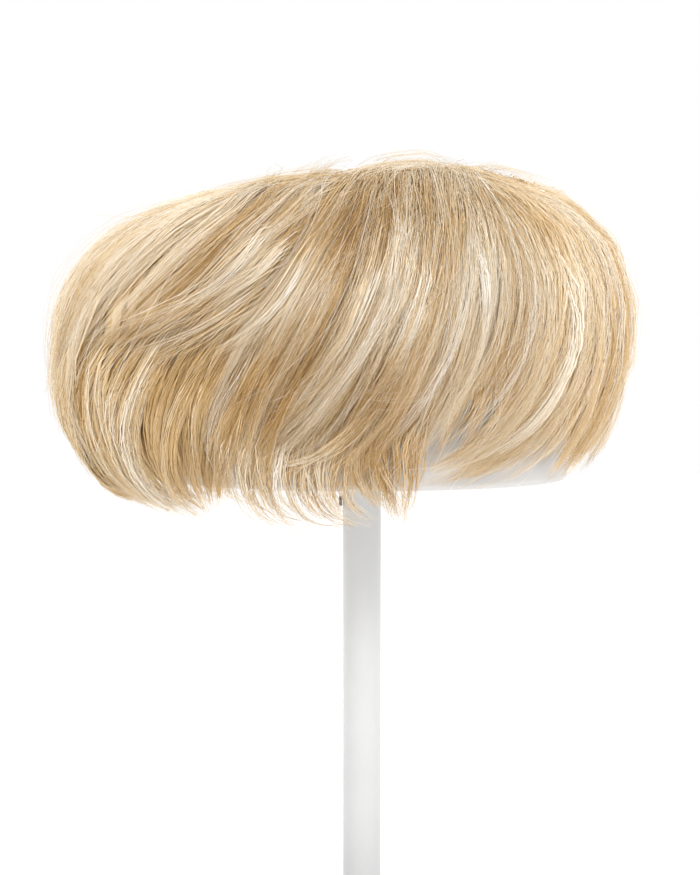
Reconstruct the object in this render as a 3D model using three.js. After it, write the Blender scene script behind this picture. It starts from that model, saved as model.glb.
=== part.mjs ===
// A short hair topper on a plain display stand.
// A round foot, a post and a head-shaped dome carry a thin base cap. The hair is rooted in the cap: its locks
// leave the crown, sweep round the head and tuck under at their tips, and stand clear of the dome at the sides.
// Millimetres, +Z up. The fringe faces -Y, and the origin is the middle of the foot's underside.

import * as THREE from "three";

// Stand
const FIT_GAP = 0.3; // between pieces that fit into or onto each other
const RIM_HEIGHT = 190; // the dome's flat underside above the table
const FOOT = { radius: 80, height: 9, edge: 2.5, socketDepth: 6, sides: 32 };
const POST = { radius: 7.5, inDome: 34, sides: 24 };
const DOME = { radius: 81, height: 112, fullness: 2.5, edge: 2.5, sides: 32, skirtSteps: 4 };
const SCREW = { radius: 2, length: 1.2, belowRim: 9, sides: 12 };

// Topper base: a thin cap that follows the top of the dome
const CAP = { radius: 62, thickness: 1.5, steps: 5 };

// Hair: the crown is the point that the locks leave, the plan is the middle of the hair seen from above
const CROWN = { x: 30, y: 15, height: 315, run: 0.052, sides: 20 };
const PLAN = { x: -8, y: 8 };
const SHOULDER_FULLNESS = 2.5; // 2 is an ellipse from crown to bulge, more is squarer
const BULGE_AT = 0.65; // share of a lock's run where the hair is widest
const SWEEP = { degrees: 50, ease: 2.4 }; // how far a lock turns round the head from root to tip
const WALL = { body: 13, tip: 4, tipFrom: 0.6 }; // thickness of the free-hanging hair
const ROOT = { seat: 1.2, blend: 26 }; // clearance of the roots over the cap, width of the change to a free wall
const LOCK = { gap: 0.8, start: 0.055, ridge: 3, taperFrom: 0.76, tipWidth: 0.6 };
const LOCK_GRID = { along: 13, ease: 1.15, across: 4 }; // facets, closer together near the roots
const LOCK_REACH = [1, 0.95, 0.985, 0.92, 0.97]; // where locks in turn end on the run
const LOCK_LIFT = [0, 1.6, 0.5, 2.2, 1]; // how far locks in turn stand out from the form

// The outer form by azimuth round the plan's middle, 0 at the front and 90 on the +X side
const COAT = [
  { azimuth: 0, bulgeRadius: 112, bulgeHeight: 238, tipRadius: 102, tipHeight: 178 },
  { azimuth: 45, bulgeRadius: 113, bulgeHeight: 240, tipRadius: 97, tipHeight: 193 },
  { azimuth: 90, bulgeRadius: 114, bulgeHeight: 242, tipRadius: 95, tipHeight: 192 },
  { azimuth: 135, bulgeRadius: 113, bulgeHeight: 242, tipRadius: 95, tipHeight: 185 },
  { azimuth: 180, bulgeRadius: 110, bulgeHeight: 242, tipRadius: 90, tipHeight: 178 },
  { azimuth: 225, bulgeRadius: 113, bulgeHeight: 239, tipRadius: 78, tipHeight: 177 },
  { azimuth: 270, bulgeRadius: 115, bulgeHeight: 236, tipRadius: 64, tipHeight: 177 },
  { azimuth: 315, bulgeRadius: 114, bulgeHeight: 236, tipRadius: 90, tipHeight: 180 },
];

// Hair zones by the azimuth of their roots, left on the -X side. Their tips lie SWEEP.degrees further round
const ZONES = [
  { name: "fringe", from: -5, to: 85, locks: 7 },
  { name: "right", from: 85, to: 163, locks: 6 },
  { name: "back", from: 163, to: 265, locks: 8 },
  { name: "left", from: 265, to: 355, locks: 7 },
];

const COLOURS = {
  hair: new THREE.MeshStandardMaterial({ color: "#c9a877", roughness: 0.5, metalness: 0 }),
  cap: new THREE.MeshStandardMaterial({ color: "#d8c4a0", roughness: 0.85, metalness: 0 }),
  stand: new THREE.MeshStandardMaterial({ color: "#e9e9e8", roughness: 0.45, metalness: 0 }),
  screw: new THREE.MeshStandardMaterial({ color: "#3a4048", roughness: 0.4, metalness: 0.8 }),
};

// Small helpers
const lerp = THREE.MathUtils.lerp;
const radians = THREE.MathUtils.degToRad;
const smooth = (value, low, high) => THREE.MathUtils.smoothstep(value, low, high);

function named(name, geometry, material) {
  const mesh = new THREE.Mesh(geometry, material);
  mesh.name = name;
  return mesh;
}

// A solid of revolution about Z from (radius, height) pairs that start and end on the axis, bottom first
function turned(profile, sides) {
  const points = profile.map(([radius, height]) => new THREE.Vector2(radius, height));
  return new THREE.LatheGeometry(points, sides).rotateX(Math.PI / 2);
}

// Quarter-round corner points from angle to angle, for a profile
function corner(centreRadius, centreHeight, size, fromDegrees, toDegrees, steps = 2) {
  return Array.from({ length: steps + 1 }, (_, i) => {
    const angle = radians(lerp(fromDegrees, toDegrees, i / steps));
    return [centreRadius + size * Math.cos(angle), centreHeight + size * Math.sin(angle)];
  });
}

// The dome's form at a radius, grown outwards by a few millimetres for what lies on it
function domeHeightAt(radius, grown = 0) {
  const share = Math.min(1, radius / (DOME.radius + grown));
  const rise = (1 - share ** DOME.fullness) ** (1 / DOME.fullness);
  return RIM_HEIGHT + DOME.edge + (DOME.height - DOME.edge + grown) * rise;
}

// Radii of a profile from one to another, closer together near the outer one, where the dome falls steeply
function radiiBetween(innerRadius, outerRadius, steps) {
  const share = (i) => Math.sin((i / steps) * (Math.PI / 2));
  return Array.from({ length: steps + 1 }, (_, i) => lerp(innerRadius, outerRadius, share(i)));
}

const capRadii = radiiBetween(0, CAP.radius, CAP.steps);
const skirtRadii = radiiBetween(CAP.radius, DOME.radius, DOME.skirtSteps);

// Stand pieces
function standFoot() {
  const socketRadius = POST.radius + FIT_GAP;
  const floor = FOOT.height - FOOT.socketDepth;
  const flat = FOOT.radius - FOOT.edge;
  return turned(
    [
      [0, 0],
      ...corner(flat, FOOT.edge, FOOT.edge, -90, 0),
      ...corner(flat, FOOT.height - FOOT.edge, FOOT.edge, 0, 90),
      [socketRadius, FOOT.height],
      [socketRadius, floor],
      [0, floor],
    ],
    FOOT.sides,
  );
}

function standPost() {
  const bottom = FOOT.height - FOOT.socketDepth + FIT_GAP;
  const top = RIM_HEIGHT + POST.inDome - FIT_GAP;
  const length = top - bottom;
  return new THREE.CylinderGeometry(POST.radius, POST.radius, length, POST.sides)
    .rotateX(Math.PI / 2)
    .translate(0, 0, bottom + length / 2);
}

function standDome() {
  const socketRadius = POST.radius + FIT_GAP;
  const wall = [...capRadii.slice(0, -1), ...skirtRadii].reverse();
  return turned(
    [
      [0, RIM_HEIGHT + POST.inDome],
      [socketRadius, RIM_HEIGHT + POST.inDome],
      [socketRadius, RIM_HEIGHT],
      ...corner(DOME.radius - DOME.edge, RIM_HEIGHT + DOME.edge, DOME.edge, -90, 0).slice(0, -1),
      ...wall.map((radius) => [radius, domeHeightAt(radius)]),
    ],
    DOME.sides,
  );
}

function postScrew() {
  const inner = POST.radius + FIT_GAP;
  return new THREE.CylinderGeometry(SCREW.radius, SCREW.radius, SCREW.length, SCREW.sides)
    .rotateZ(Math.PI / 2)
    .translate(-(inner + SCREW.length / 2), 0, RIM_HEIGHT - SCREW.belowRim);
}

// Base cap, a wall of even thickness on the dome
function baseCap() {
  const under = capRadii.map((radius) => [radius, domeHeightAt(radius, FIT_GAP)]);
  const over = capRadii.map((radius) => [radius, domeHeightAt(radius, FIT_GAP + CAP.thickness)]);
  return turned([...under, ...over.reverse()], DOME.sides);
}

// Hair form: closed curves round the head where the hair is widest and where its tips end
function coatRing(radiusColumn, heightColumn) {
  const points = COAT.map((row) => {
    const angle = radians(row.azimuth);
    const radius = row[radiusColumn];
    const x = PLAN.x + radius * Math.sin(angle);
    const y = PLAN.y - radius * Math.cos(angle);
    return new THREE.Vector3(x, y, row[heightColumn]);
  });
  return new THREE.CatmullRomCurve3(points, true);
}

const bulgeRing = coatRing("bulgeRadius", "bulgeHeight");
const tipRing = coatRing("tipRadius", "tipHeight");

function onRing(ring, azimuth) {
  return ring.getPoint(THREE.MathUtils.euclideanModulo(azimuth / 360, 1));
}

// A point of the outer form, at a share of the run from the crown (0) over the bulge to the tips (1)
function coatPoint(azimuth, run) {
  const bulge = onRing(bulgeRing, azimuth);
  if (run <= BULGE_AT) {
    const turn = (run / BULGE_AT) * (Math.PI / 2);
    const out = Math.sin(turn) ** (2 / SHOULDER_FULLNESS);
    const up = Math.cos(turn) ** (2 / SHOULDER_FULLNESS);
    return new THREE.Vector3(
      lerp(CROWN.x, bulge.x, out),
      lerp(CROWN.y, bulge.y, out),
      lerp(bulge.z, CROWN.height, up),
    );
  }
  const tip = onRing(tipRing, azimuth);
  const turn = ((run - BULGE_AT) / (1 - BULGE_AT)) * (Math.PI / 2);
  const tuck = 1 - Math.cos(turn);
  return new THREE.Vector3(
    lerp(bulge.x, tip.x, tuck),
    lerp(bulge.y, tip.y, tuck),
    lerp(bulge.z, tip.z, Math.sin(turn)),
  );
}

function coatNormal(azimuth, run) {
  const azimuthStep = 0.5;
  const runStep = 0.004;
  const along = coatPoint(azimuth, run + runStep).sub(coatPoint(azimuth, run - runStep));
  const round = coatPoint(azimuth + azimuthStep, run).sub(coatPoint(azimuth - azimuthStep, run));
  return along.cross(round).normalize();
}

function sweptAzimuth(rootAzimuth, run) {
  return rootAzimuth - SWEEP.degrees * run ** SWEEP.ease;
}

// Where the roots sit above the cap, at a distance from the dome's axis
function rootHeightAt(fromAxis) {
  return domeHeightAt(Math.min(fromAxis, CAP.radius), FIT_GAP + CAP.thickness + ROOT.seat);
}

// The inner side of the hair under a point of its form: on the cap near the roots, then a free wall
function innerPoint(point, normal, run) {
  const fromAxis = Math.hypot(point.x, point.y);
  const free = run > BULGE_AT ? 1 : smooth(fromAxis, CAP.radius, CAP.radius + ROOT.blend);
  const rootThickness = point.z - rootHeightAt(fromAxis);
  const wall = lerp(WALL.body, WALL.tip, smooth(run, WALL.tipFrom, 1));
  const inwards = new THREE.Vector3(0, 0, -1).lerp(normal.clone().negate(), free).normalize();
  return point.clone().addScaledVector(inwards, lerp(rootThickness, wall, free));
}

function geometryOf(points, faces) {
  const positions = points.flatMap((point) => point.toArray());
  return new THREE.BufferGeometry()
    .setAttribute("position", new THREE.Float32BufferAttribute(positions, 3))
    .setIndex(faces);
}

// A closed solid between two grids of points of the same size, rows along and columns across
function solidBetween(outer, inner) {
  const rows = outer.length;
  const columns = outer[0].length;
  const top = (row, column) => row * columns + column;
  const under = (row, column) => rows * columns + top(row, column);
  const faces = [];
  const quad = (a, b, c, d) => faces.push(a, b, c, a, c, d);
  for (let row = 0; row < rows - 1; row++) {
    for (let column = 0; column < columns - 1; column++) {
      quad(top(row, column), top(row + 1, column), top(row + 1, column + 1), top(row, column + 1));
      quad(under(row, column), under(row, column + 1), under(row + 1, column + 1), under(row + 1, column));
    }
    const last = columns - 1;
    quad(top(row, 0), under(row, 0), under(row + 1, 0), top(row + 1, 0));
    quad(top(row, last), top(row + 1, last), under(row + 1, last), under(row, last));
  }
  for (let column = 0; column < columns - 1; column++) {
    const last = rows - 1;
    quad(top(0, column), top(0, column + 1), under(0, column + 1), under(0, column));
    quad(top(last, column), under(last, column), under(last, column + 1), top(last, column + 1));
  }
  return geometryOf([...outer.flat(), ...inner.flat()], faces);
}

// Shares of the run at which a lock has its sections. Only the tapered end differs from lock to lock
function lockRuns(reach) {
  return Array.from({ length: LOCK_GRID.along + 1 }, (_, step) => {
    const run = lerp(LOCK.start, 1, (step / LOCK_GRID.along) ** LOCK_GRID.ease);
    if (run <= LOCK.taperFrom) return run;
    return lerp(LOCK.taperFrom, reach, (run - LOCK.taperFrom) / (1 - LOCK.taperFrom));
  });
}

// One lock between two root azimuths: rounded across, narrower at its tip
function hairLock(fromAzimuth, toAzimuth, reach, lift) {
  const middle = (fromAzimuth + toAzimuth) / 2;
  const outer = [];
  const inner = [];
  for (const run of lockRuns(reach)) {
    const edgeA = coatPoint(sweptAzimuth(fromAzimuth, run), run);
    const edgeB = coatPoint(sweptAzimuth(toAzimuth, run), run);
    const taper = lerp(1, LOCK.tipWidth, smooth(run, LOCK.taperFrom, reach));
    const width = (toAzimuth - fromAzimuth) * (1 - LOCK.gap / edgeA.distanceTo(edgeB)) * taper;
    const rise = smooth(run, LOCK.start, BULGE_AT / 2) * taper;
    const outerRow = [];
    const innerRow = [];
    for (let column = 0; column <= LOCK_GRID.across; column++) {
      const side = column / LOCK_GRID.across - 0.5;
      const azimuth = sweptAzimuth(middle + width * side, run);
      const form = coatPoint(azimuth, run);
      const normal = coatNormal(azimuth, run);
      const crest = (lift + LOCK.ridge * Math.cos(Math.PI * side)) * rise - LOCK.ridge;
      outerRow.push(form.clone().addScaledVector(normal, crest));
      innerRow.push(innerPoint(form, normal, run));
    }
    outer.push(outerRow);
    inner.push(innerRow);
  }
  return solidBetween(outer, inner);
}

// The whorl in the middle of the crown, a low round pad on the cap that the roots of the locks surround
function crownHair() {
  const onRoots = (point) => new THREE.Vector3(point.x, point.y, rootHeightAt(Math.hypot(point.x, point.y)));
  const ring = (run, lowered) =>
    Array.from({ length: CROWN.sides }, (_, i) => {
      const point = coatPoint((360 * i) / CROWN.sides, run);
      point.z -= lowered;
      return point;
    });
  const apex = new THREE.Vector3(CROWN.x, CROWN.y, CROWN.height);
  const shoulder = ring(CROWN.run / 2, LOCK.ridge / 3);
  const edge = ring(CROWN.run, LOCK.ridge);
  const rings = [shoulder, edge, edge.map(onRoots)];
  const points = [apex, ...rings.flat(), onRoots(apex)];
  const n = CROWN.sides;
  const faces = [];
  for (let i = 0; i < n; i++) {
    const next = (i + 1) % n;
    const at = (ringIndex, side) => 1 + ringIndex * n + side;
    faces.push(0, at(0, i), at(0, next));
    for (let r = 0; r < rings.length - 1; r++) {
      faces.push(at(r, i), at(r + 1, i), at(r + 1, next), at(r, i), at(r + 1, next), at(r, next));
    }
    faces.push(points.length - 1, at(rings.length - 1, next), at(rings.length - 1, i));
  }
  return geometryOf(points, faces);
}

// Assembly
const stand = new THREE.Group();
stand.add(named("stand_foot", standFoot(), COLOURS.stand));
stand.add(named("stand_post", standPost(), COLOURS.stand));
stand.add(named("stand_dome", standDome(), COLOURS.stand));
stand.add(named("post_screw", postScrew(), COLOURS.screw));

const topper = new THREE.Group();
topper.add(named("base_cap", baseCap(), COLOURS.cap));
topper.add(named("crown_hair", crownHair(), COLOURS.hair));
let lockCount = 0;
for (const zone of ZONES) {
  const share = (zone.to - zone.from) / zone.locks;
  for (let i = 0; i < zone.locks; i++) {
    const from = zone.from + i * share;
    const reach = LOCK_REACH[lockCount % LOCK_REACH.length];
    const lift = LOCK_LIFT[lockCount % LOCK_LIFT.length];
    topper.add(named(`${zone.name}_lock_${i + 1}`, hairLock(from, from + share, reach, lift), COLOURS.hair));
    lockCount++;
  }
}

const hairTopperOnStand = new THREE.Group();
hairTopperOnStand.add(stand, topper);

export default hairTopperOnStand;
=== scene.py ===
import math

import bpy
import numpy as np
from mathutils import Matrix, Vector


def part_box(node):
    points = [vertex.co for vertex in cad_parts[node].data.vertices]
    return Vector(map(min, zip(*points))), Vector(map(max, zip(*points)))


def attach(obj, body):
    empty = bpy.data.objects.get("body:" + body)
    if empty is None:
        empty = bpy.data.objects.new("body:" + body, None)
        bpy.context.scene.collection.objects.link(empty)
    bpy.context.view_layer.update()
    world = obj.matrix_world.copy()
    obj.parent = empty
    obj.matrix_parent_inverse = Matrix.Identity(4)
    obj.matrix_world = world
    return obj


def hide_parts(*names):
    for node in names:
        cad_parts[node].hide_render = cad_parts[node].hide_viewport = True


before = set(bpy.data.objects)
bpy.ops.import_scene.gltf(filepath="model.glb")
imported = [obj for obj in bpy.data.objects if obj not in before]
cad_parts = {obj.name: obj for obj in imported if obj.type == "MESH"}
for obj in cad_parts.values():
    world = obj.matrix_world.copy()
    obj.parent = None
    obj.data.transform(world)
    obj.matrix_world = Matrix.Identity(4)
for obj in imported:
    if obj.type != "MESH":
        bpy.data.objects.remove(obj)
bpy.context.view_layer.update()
mm = 0.001
print("frame loaded,", len(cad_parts), "nodes")


# Small helpers for modelling by hand

def deselectAll():
    if bpy.context.object and bpy.context.object.mode != "OBJECT":
        bpy.ops.object.mode_set(mode="OBJECT")
    bpy.ops.object.select_all(action="DESELECT")


def selectFaces(piece, wanted):
    bpy.ops.mesh.select_all(action="DESELECT")
    bpy.ops.object.mode_set(mode="OBJECT")
    for face in piece.data.polygons:
        face.select = wanted(face.center, face.normal)
    bpy.ops.object.mode_set(mode="EDIT")


def selectEdges(piece, wanted):
    bpy.ops.mesh.select_mode(type="EDGE")
    bpy.ops.mesh.select_all(action="DESELECT")
    bpy.ops.object.mode_set(mode="OBJECT")
    points = piece.data.vertices
    for edge in piece.data.edges:
        a, b = (points[i].co for i in edge.vertices)
        edge.select = wanted(a, b)
    bpy.ops.object.mode_set(mode="EDIT")


def settle(piece, name, smoothAngle=40):
    if piece.mode != "OBJECT":
        bpy.ops.object.mode_set(mode="OBJECT")
    bpy.ops.object.transform_apply(location=True, rotation=True, scale=True)
    bpy.ops.object.shade_smooth_by_angle(angle=math.radians(smoothAngle))
    piece.name = name
    piece.data.name = name


def dress(piece, material):
    piece.data.materials.clear()
    piece.data.materials.append(material)


# Materials

def newMaterial(name):
    material = bpy.data.materials.new(name)
    material.use_nodes = True
    nodes = material.node_tree.nodes
    return material, nodes, material.node_tree.links, nodes["Principled BSDF"]


def noiseOn(nodes, links, vector, scale, detail=3.0):
    noise = nodes.new("ShaderNodeTexNoise")
    noise.inputs["Scale"].default_value = scale
    noise.inputs["Detail"].default_value = detail
    links.new(vector, noise.inputs["Vector"])
    return noise.outputs["Fac"]


def ramp(nodes, links, value, stops):
    node = nodes.new("ShaderNodeValToRGB")
    elements = node.color_ramp.elements
    while len(elements) < len(stops):
        elements.new(1.0)
    for element, (place, colour) in zip(elements, stops):
        element.position = place
        element.color = (*colour, 1.0)
    links.new(value, node.inputs["Fac"])
    return node.outputs["Color"]


def mapRange(nodes, links, value, low, high, toLow, toHigh):
    node = nodes.new("ShaderNodeMapRange")
    for socket, number in (("From Min", low), ("From Max", high), ("To Min", toLow), ("To Max", toHigh)):
        node.inputs[socket].default_value = number
    links.new(value, node.inputs["Value"])
    return node.outputs["Result"]


def bumpOn(nodes, links, shader, height, strength, distance):
    bump = nodes.new("ShaderNodeBump")
    bump.inputs["Strength"].default_value = strength
    bump.inputs["Distance"].default_value = distance
    links.new(height, bump.inputs["Height"])
    links.new(bump.outputs["Normal"], shader.inputs["Normal"])


paints = {
    "satin white paint": {
        "pale": (0.56, 0.56, 0.557), "dull": (0.53, 0.53, 0.53), "rough": (0.32, 0.48), "grain": 900.0},
    "matt white dome": {
        "pale": (0.60, 0.585, 0.57), "dull": (0.56, 0.545, 0.53), "rough": (0.55, 0.75), "grain": 650.0},
}


def paintMaterial(name):
    # sprayed finish: faint clouding, a fine orange peel and uneven gloss
    paint = paints[name]
    material, nodes, links, shader = newMaterial(name)
    place = nodes.new("ShaderNodeTexCoord").outputs["Object"]
    cloud = noiseOn(nodes, links, place, scale=38.0)
    stops = [(0.3, paint["dull"]), (0.7, paint["pale"])]
    links.new(ramp(nodes, links, cloud, stops), shader.inputs["Base Color"])
    peel = noiseOn(nodes, links, place, paint["grain"], detail=2.0)
    links.new(mapRange(nodes, links, peel, 0.3, 0.7, *paint["rough"]), shader.inputs["Roughness"])
    bumpOn(nodes, links, shader, peel, strength=0.12, distance=0.00015)
    return material


def screwMaterial():
    # dark blued steel with fine turning marks
    material, nodes, links, shader = newMaterial("blued steel")
    place = nodes.new("ShaderNodeTexCoord").outputs["Object"]
    wear = noiseOn(nodes, links, place, scale=900.0)
    stops = [(0.35, (0.045, 0.055, 0.075)), (0.75, (0.16, 0.17, 0.19))]
    links.new(ramp(nodes, links, wear, stops), shader.inputs["Base Color"])
    links.new(mapRange(nodes, links, wear, 0.3, 0.7, 0.28, 0.45), shader.inputs["Roughness"])
    shader.inputs["Metallic"].default_value = 0.85
    bumpOn(nodes, links, shader, wear, strength=0.2, distance=0.00005)
    return material


net = {"turns": (45, -45), "threadScale": 260.0, "unevenness": 0.6}


def netMaterial():
    # soft knitted net of the base cap, two crossing sets of threads
    material, nodes, links, shader = newMaterial("cap net")
    place = nodes.new("ShaderNodeTexCoord").outputs["Object"]
    threads = []
    for turn in net["turns"]:
        mapping = nodes.new("ShaderNodeMapping")
        mapping.inputs["Rotation"].default_value = (0, 0, math.radians(turn))
        links.new(place, mapping.inputs["Vector"])
        wave = nodes.new("ShaderNodeTexWave")
        wave.inputs["Scale"].default_value = net["threadScale"]
        wave.inputs["Distortion"].default_value = net["unevenness"]
        links.new(mapping.outputs["Vector"], wave.inputs["Vector"])
        threads.append(wave.outputs["Fac"])
    knit = nodes.new("ShaderNodeMath")
    knit.operation = "MAXIMUM"
    links.new(threads[0], knit.inputs[0])
    links.new(threads[1], knit.inputs[1])
    stops = [(0.2, (0.33, 0.23, 0.13)), (0.8, (0.70, 0.56, 0.38))]
    links.new(ramp(nodes, links, knit.outputs["Value"], stops), shader.inputs["Base Color"])
    links.new(mapRange(nodes, links, knit.outputs["Value"], 0, 1, 0.9, 0.7), shader.inputs["Roughness"])
    bumpOn(nodes, links, shader, knit.outputs["Value"], strength=0.5, distance=0.0004)
    return material


fibre = {
    # tone along u of the strand map, darkest fibres first
    "tones": [
        (0.00, (0.150, 0.066, 0.020)),
        (0.25, (0.420, 0.235, 0.083)),
        (0.50, (0.690, 0.479, 0.229)),
        (0.75, (0.872, 0.746, 0.552)),
        (1.00, (0.970, 0.930, 0.865)),
    ],
    "streaks": 150.0,      # fibres across the map, and their changes along it
    "streakChanges": 2.5,
    "streakDepth": 0.10,
    "rough": (0.38, 0.50),
    "specular": 0.12,
    "specularTint": (1.0, 0.90, 0.76, 1.0),
}


def fibreMaterial():
    # the strand map holds tone across u and root to tip along v
    material, nodes, links, shader = newMaterial("blonde fibre")
    strandMap = nodes.new("ShaderNodeUVMap")
    strandMap.uv_map = "OFBake"
    parts = nodes.new("ShaderNodeSeparateXYZ")
    links.new(strandMap.outputs["UV"], parts.inputs["Vector"])
    stretch = nodes.new("ShaderNodeMapping")
    stretch.inputs["Scale"].default_value = (fibre["streaks"], fibre["streakChanges"], 1.0)
    links.new(strandMap.outputs["UV"], stretch.inputs["Vector"])
    streak = noiseOn(nodes, links, stretch.outputs["Vector"], scale=1.0, detail=2.0)
    depth = fibre["streakDepth"]
    shift = mapRange(nodes, links, streak, 0.25, 0.75, -depth, depth)
    tone = nodes.new("ShaderNodeMath")
    tone.operation = "ADD"
    tone.use_clamp = True
    links.new(parts.outputs["X"], tone.inputs[0])
    links.new(shift, tone.inputs[1])
    links.new(ramp(nodes, links, tone.outputs["Value"], fibre["tones"]), shader.inputs["Base Color"])
    links.new(mapRange(nodes, links, streak, 0.3, 0.7, *fibre["rough"]), shader.inputs["Roughness"])
    shader.inputs["Specular IOR Level"].default_value = fibre["specular"]
    shader.inputs["Specular Tint"].default_value = fibre["specularTint"]
    return material


# Studio

studio = {
    "aim": (-0.0047, 0.0, 0.206),
    "distance": 1.3,
    "elevation": 3.0,           # degrees above the level
    "pictureHeight": 0.3454,    # what the picture's height spans at the aim
    "sensor": 36.0,
    "floorSize": 6.0,
    "floorPale": (0.95, 0.95, 0.95),
    "floorDull": (0.93, 0.93, 0.93),
    "floorGlow": 0.15,
    "worldStrength": 1.0,
    "lightsAim": (0.0, 0.0, 0.24),
}

lights = [
    # name, place, width, power, all aimed at the middle of the hair
    ("key softbox", (0.28, -1.20, 1.00), 0.5, 12.0),
    ("left rim", (-0.85, 0.85, 0.60), 0.6, 6.0),
    ("right rim", (0.85, 0.85, 0.60), 0.6, 2.5),
]


def buildStudio():
    deselectAll()
    bpy.ops.mesh.primitive_plane_add(size=studio["floorSize"], location=(0, 0, 0))
    floor = bpy.context.object
    floor.name = "floor"
    material, nodes, links, shader = newMaterial("studio floor")
    place = nodes.new("ShaderNodeTexCoord").outputs["Object"]
    cloud = noiseOn(nodes, links, place, scale=2.0)
    stops = [(0.3, studio["floorDull"]), (0.7, studio["floorPale"])]
    links.new(ramp(nodes, links, cloud, stops), shader.inputs["Base Color"])
    shader.inputs["Roughness"].default_value = 0.9
    shader.inputs["Emission Color"].default_value = (1, 1, 1, 1)
    shader.inputs["Emission Strength"].default_value = studio["floorGlow"]
    dress(floor, material)

    world = bpy.data.worlds.new("studio white")
    bpy.context.scene.world = world
    world.use_nodes = True
    sky = world.node_tree.nodes["Background"]
    sky.inputs["Color"].default_value = (1, 1, 1, 1)
    sky.inputs["Strength"].default_value = studio["worldStrength"]

    middle = Vector(studio["lightsAim"])
    for name, place, width, power in lights:
        deselectAll()
        bpy.ops.object.light_add(type="AREA", location=place)
        lamp = bpy.context.object
        lamp.name = name
        lamp.data.shape = "DISK"
        lamp.data.size = width
        lamp.data.energy = power
        lamp.rotation_euler = (middle - Vector(place)).to_track_quat("-Z", "Y").to_euler()

    aim = Vector(studio["aim"])
    tilt = math.radians(studio["elevation"])
    back = Vector((0, -math.cos(tilt), math.sin(tilt)))
    deselectAll()
    bpy.ops.object.camera_add(location=aim + studio["distance"] * back)
    camera = bpy.context.object
    camera.rotation_euler = (-back).to_track_quat("-Z", "Y").to_euler()
    camera.data.sensor_width = studio["sensor"]
    camera.data.lens = studio["sensor"] * studio["distance"] / studio["pictureHeight"]
    bpy.context.scene.camera = camera
    bpy.context.scene.view_settings.view_transform = "Standard"
    print("studio ready")


# Stand

stand = {
    "footSides": 128,
    "footEdge": 0.0025,
    "footEdgeSteps": 5,
    "postSides": 64,
    "postEdge": 0.0004,
    "postEdgeSteps": 3,
    "socketGap": 0.0003,
    "socketDepth": 0.006,
    "domeSides": 96,
    "domeEdge": 0.0025,
    "domeEdgeSteps": 4,
    "domeFullness": 2.5,
    "domeSteps": 18,
    "postInDome": 0.034,
    "screwSides": 24,
    "screwEdge": 0.12,       # as shares of the screw's radius
    "screwSocket": 0.45,
    "screwSocketDepth": 0.6,    # as a share of its length
}


def socketIn(piece, isEnd, fromRadius, radius, depth):
    # a round blind hole in an end face
    selectFaces(piece, isEnd)
    bpy.ops.mesh.inset(thickness=fromRadius - radius, depth=0)
    bpy.ops.mesh.extrude_region_move(TRANSFORM_OT_translate={"value": depth})


def standFoot(material):
    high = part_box("stand_foot")[1]
    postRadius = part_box("stand_post")[1].x
    radius, height = high.x, high.z
    deselectAll()
    bpy.ops.mesh.primitive_cylinder_add(
        vertices=stand["footSides"], radius=radius, depth=height, location=(0, 0, height / 2))
    piece = bpy.context.object
    bpy.ops.object.transform_apply(location=True)
    bpy.ops.object.mode_set(mode="EDIT")
    selectEdges(piece, lambda a, b: abs(a.z - b.z) < 1e-6)
    bpy.ops.mesh.bevel(offset=stand["footEdge"], segments=stand["footEdgeSteps"], affect="EDGES")
    bpy.ops.mesh.select_mode(type="FACE")
    socketIn(piece, lambda c, n: n.z > 0.99 and c.z > height - 1e-5,
             radius - stand["footEdge"], postRadius + stand["socketGap"], (0, 0, -stand["socketDepth"]))
    settle(piece, "footPlate")
    dress(piece, material)
    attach(piece, "root")
    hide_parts("stand_foot")


def standPost(material):
    low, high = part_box("stand_post")
    length = high.z - low.z
    deselectAll()
    bpy.ops.mesh.primitive_cylinder_add(
        vertices=stand["postSides"], radius=high.x, depth=length, location=(0, 0, (low.z + high.z) / 2))
    piece = bpy.context.object
    bpy.ops.object.transform_apply(location=True)
    bpy.ops.object.mode_set(mode="EDIT")
    selectEdges(piece, lambda a, b: abs(a.z - b.z) < 1e-6)
    bpy.ops.mesh.bevel(offset=stand["postEdge"], segments=stand["postEdgeSteps"], affect="EDGES")
    settle(piece, "post")
    dress(piece, material)
    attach(piece, "root")
    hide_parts("stand_post")


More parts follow.
